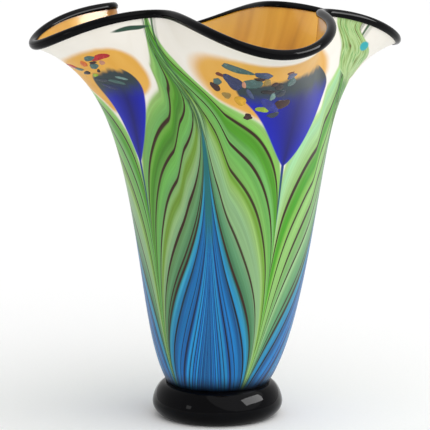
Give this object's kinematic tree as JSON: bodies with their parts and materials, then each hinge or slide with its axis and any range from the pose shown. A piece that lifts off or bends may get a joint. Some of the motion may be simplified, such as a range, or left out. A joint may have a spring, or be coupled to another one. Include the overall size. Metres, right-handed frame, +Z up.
{
  "type": "art glass vase",
  "caption": "Hand blown art glass vase with a peacock feather pattern, a ruffled four-lobed mouth, a black lip wrap and a black foot.",
  "frame": {"origin": "centre of the foot's ground resting face", "axes": "+Z up along the vase, -Y towards the front feather spine"},
  "size_m": [0.2819, 0.318, 0.318],
  "materials": {
    "amber_glass": "gloss",
    "opal_glass": "satin",
    "blue_glass": "satin",
    "green_glass": "satin",
    "cobalt_glass": "satin",
    "halo_glass": "satin",
    "frit_glass": "gloss",
    "black_glass": "gloss"
  },
  "bodies": {
    "root": {"foot": "black_glass", "amber_lining": "amber_glass", "opal_casing": "opal_glass", "lip_wrap": "black_glass", "blue_feather_1": "blue_glass", "blue_feather_2": "blue_glass", "blue_feather_3": "blue_glass", "blue_feather_4": "blue_glass", "green_feather_1": "green_glass", "green_feather_2": "green_glass", "green_feather_3": "green_glass", "green_feather_4": "green_glass", "amber_halo_1": "halo_glass", "amber_halo_2": "halo_glass", "amber_halo_3": "halo_glass", "amber_halo_4": "halo_glass", "cobalt_eye_1": "cobalt_glass", "cobalt_eye_2": "cobalt_glass", "cobalt_eye_3": "cobalt_glass", "cobalt_eye_4": "cobalt_glass", "frit_chips_1": "frit_glass", "frit_chips_2": "frit_glass", "frit_chips_3": "frit_glass", "frit_chips_4": "frit_glass"}
  },
  "joints": []
}
